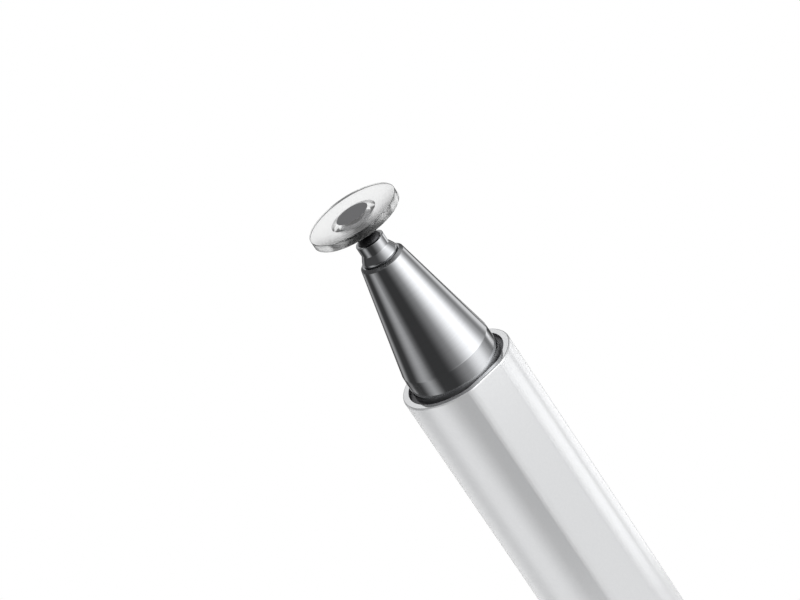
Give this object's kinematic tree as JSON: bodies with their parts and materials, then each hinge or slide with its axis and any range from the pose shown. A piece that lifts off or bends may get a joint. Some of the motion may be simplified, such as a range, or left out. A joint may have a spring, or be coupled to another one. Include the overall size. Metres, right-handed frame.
{
  "type": "stylus pen",
  "caption": "Disc-tip touch stylus: clear disc on a tilting ball joint, polished metal nose cone and a slim white barrel with a flat side that parks on a tablet.",
  "frame": {"origin": "middle of the tail's flat end, on the pen's axis", "axes": "+Z along the pen's axis from tail to tip, -Y out of the barrel's flat"},
  "size_m": [0.009, 0.0087, 0.1469],
  "materials": {
    "white_paint": "gloss",
    "white_plastic": "gloss",
    "black_foam": "matte",
    "grey_plastic": "matte",
    "nickel_plate": "polished",
    "steel": "satin",
    "spring_steel": "satin",
    "black_plastic": "satin",
    "black_rubber": "matte",
    "dark_chrome": "polished",
    "bright_nickel": "polished",
    "brass": "satin",
    "black_nickel": "polished",
    "grey_metal": "satin",
    "clear_plastic": "polished"
  },
  "bodies": {
    "pen": {"barrel": "white_paint", "tail_cap": "white_plastic", "rear_cushion": "black_foam", "magnet_carrier": "grey_plastic", "carrier_lid": "grey_plastic", "bar_magnets": "nickel_plate", "magnet_backing": "steel", "balance_weight": "steel", "spring_washer": "steel", "core_spring": "spring_steel", "front_bush": "black_plastic", "nose_seal": "black_rubber", "nose_cone": "dark_chrome", "nib_washer": "bright_nickel", "nib_body": "bright_nickel", "seat_spring": "spring_steel", "seat_screw": "brass"},
    "swivel": {"ball_seat": "brass"},
    "disc": {"ball_stud": "black_nickel", "disc_insert": "grey_metal", "tip_disc": "clear_plastic"}
  },
  "joints": [
    {"name": "tip_swivel", "type": "hinge", "parent": "pen", "child": "swivel", "pos_m": [0, 0, 0.14415], "axis": [0, 0, 1], "continuous": true},
    {"name": "disc_tilt", "type": "hinge", "parent": "swivel", "child": "disc", "pos_m": [0, 0, 0.14415], "axis": [1, 0, 0], "range_deg": [-30, 30]}
  ]
}
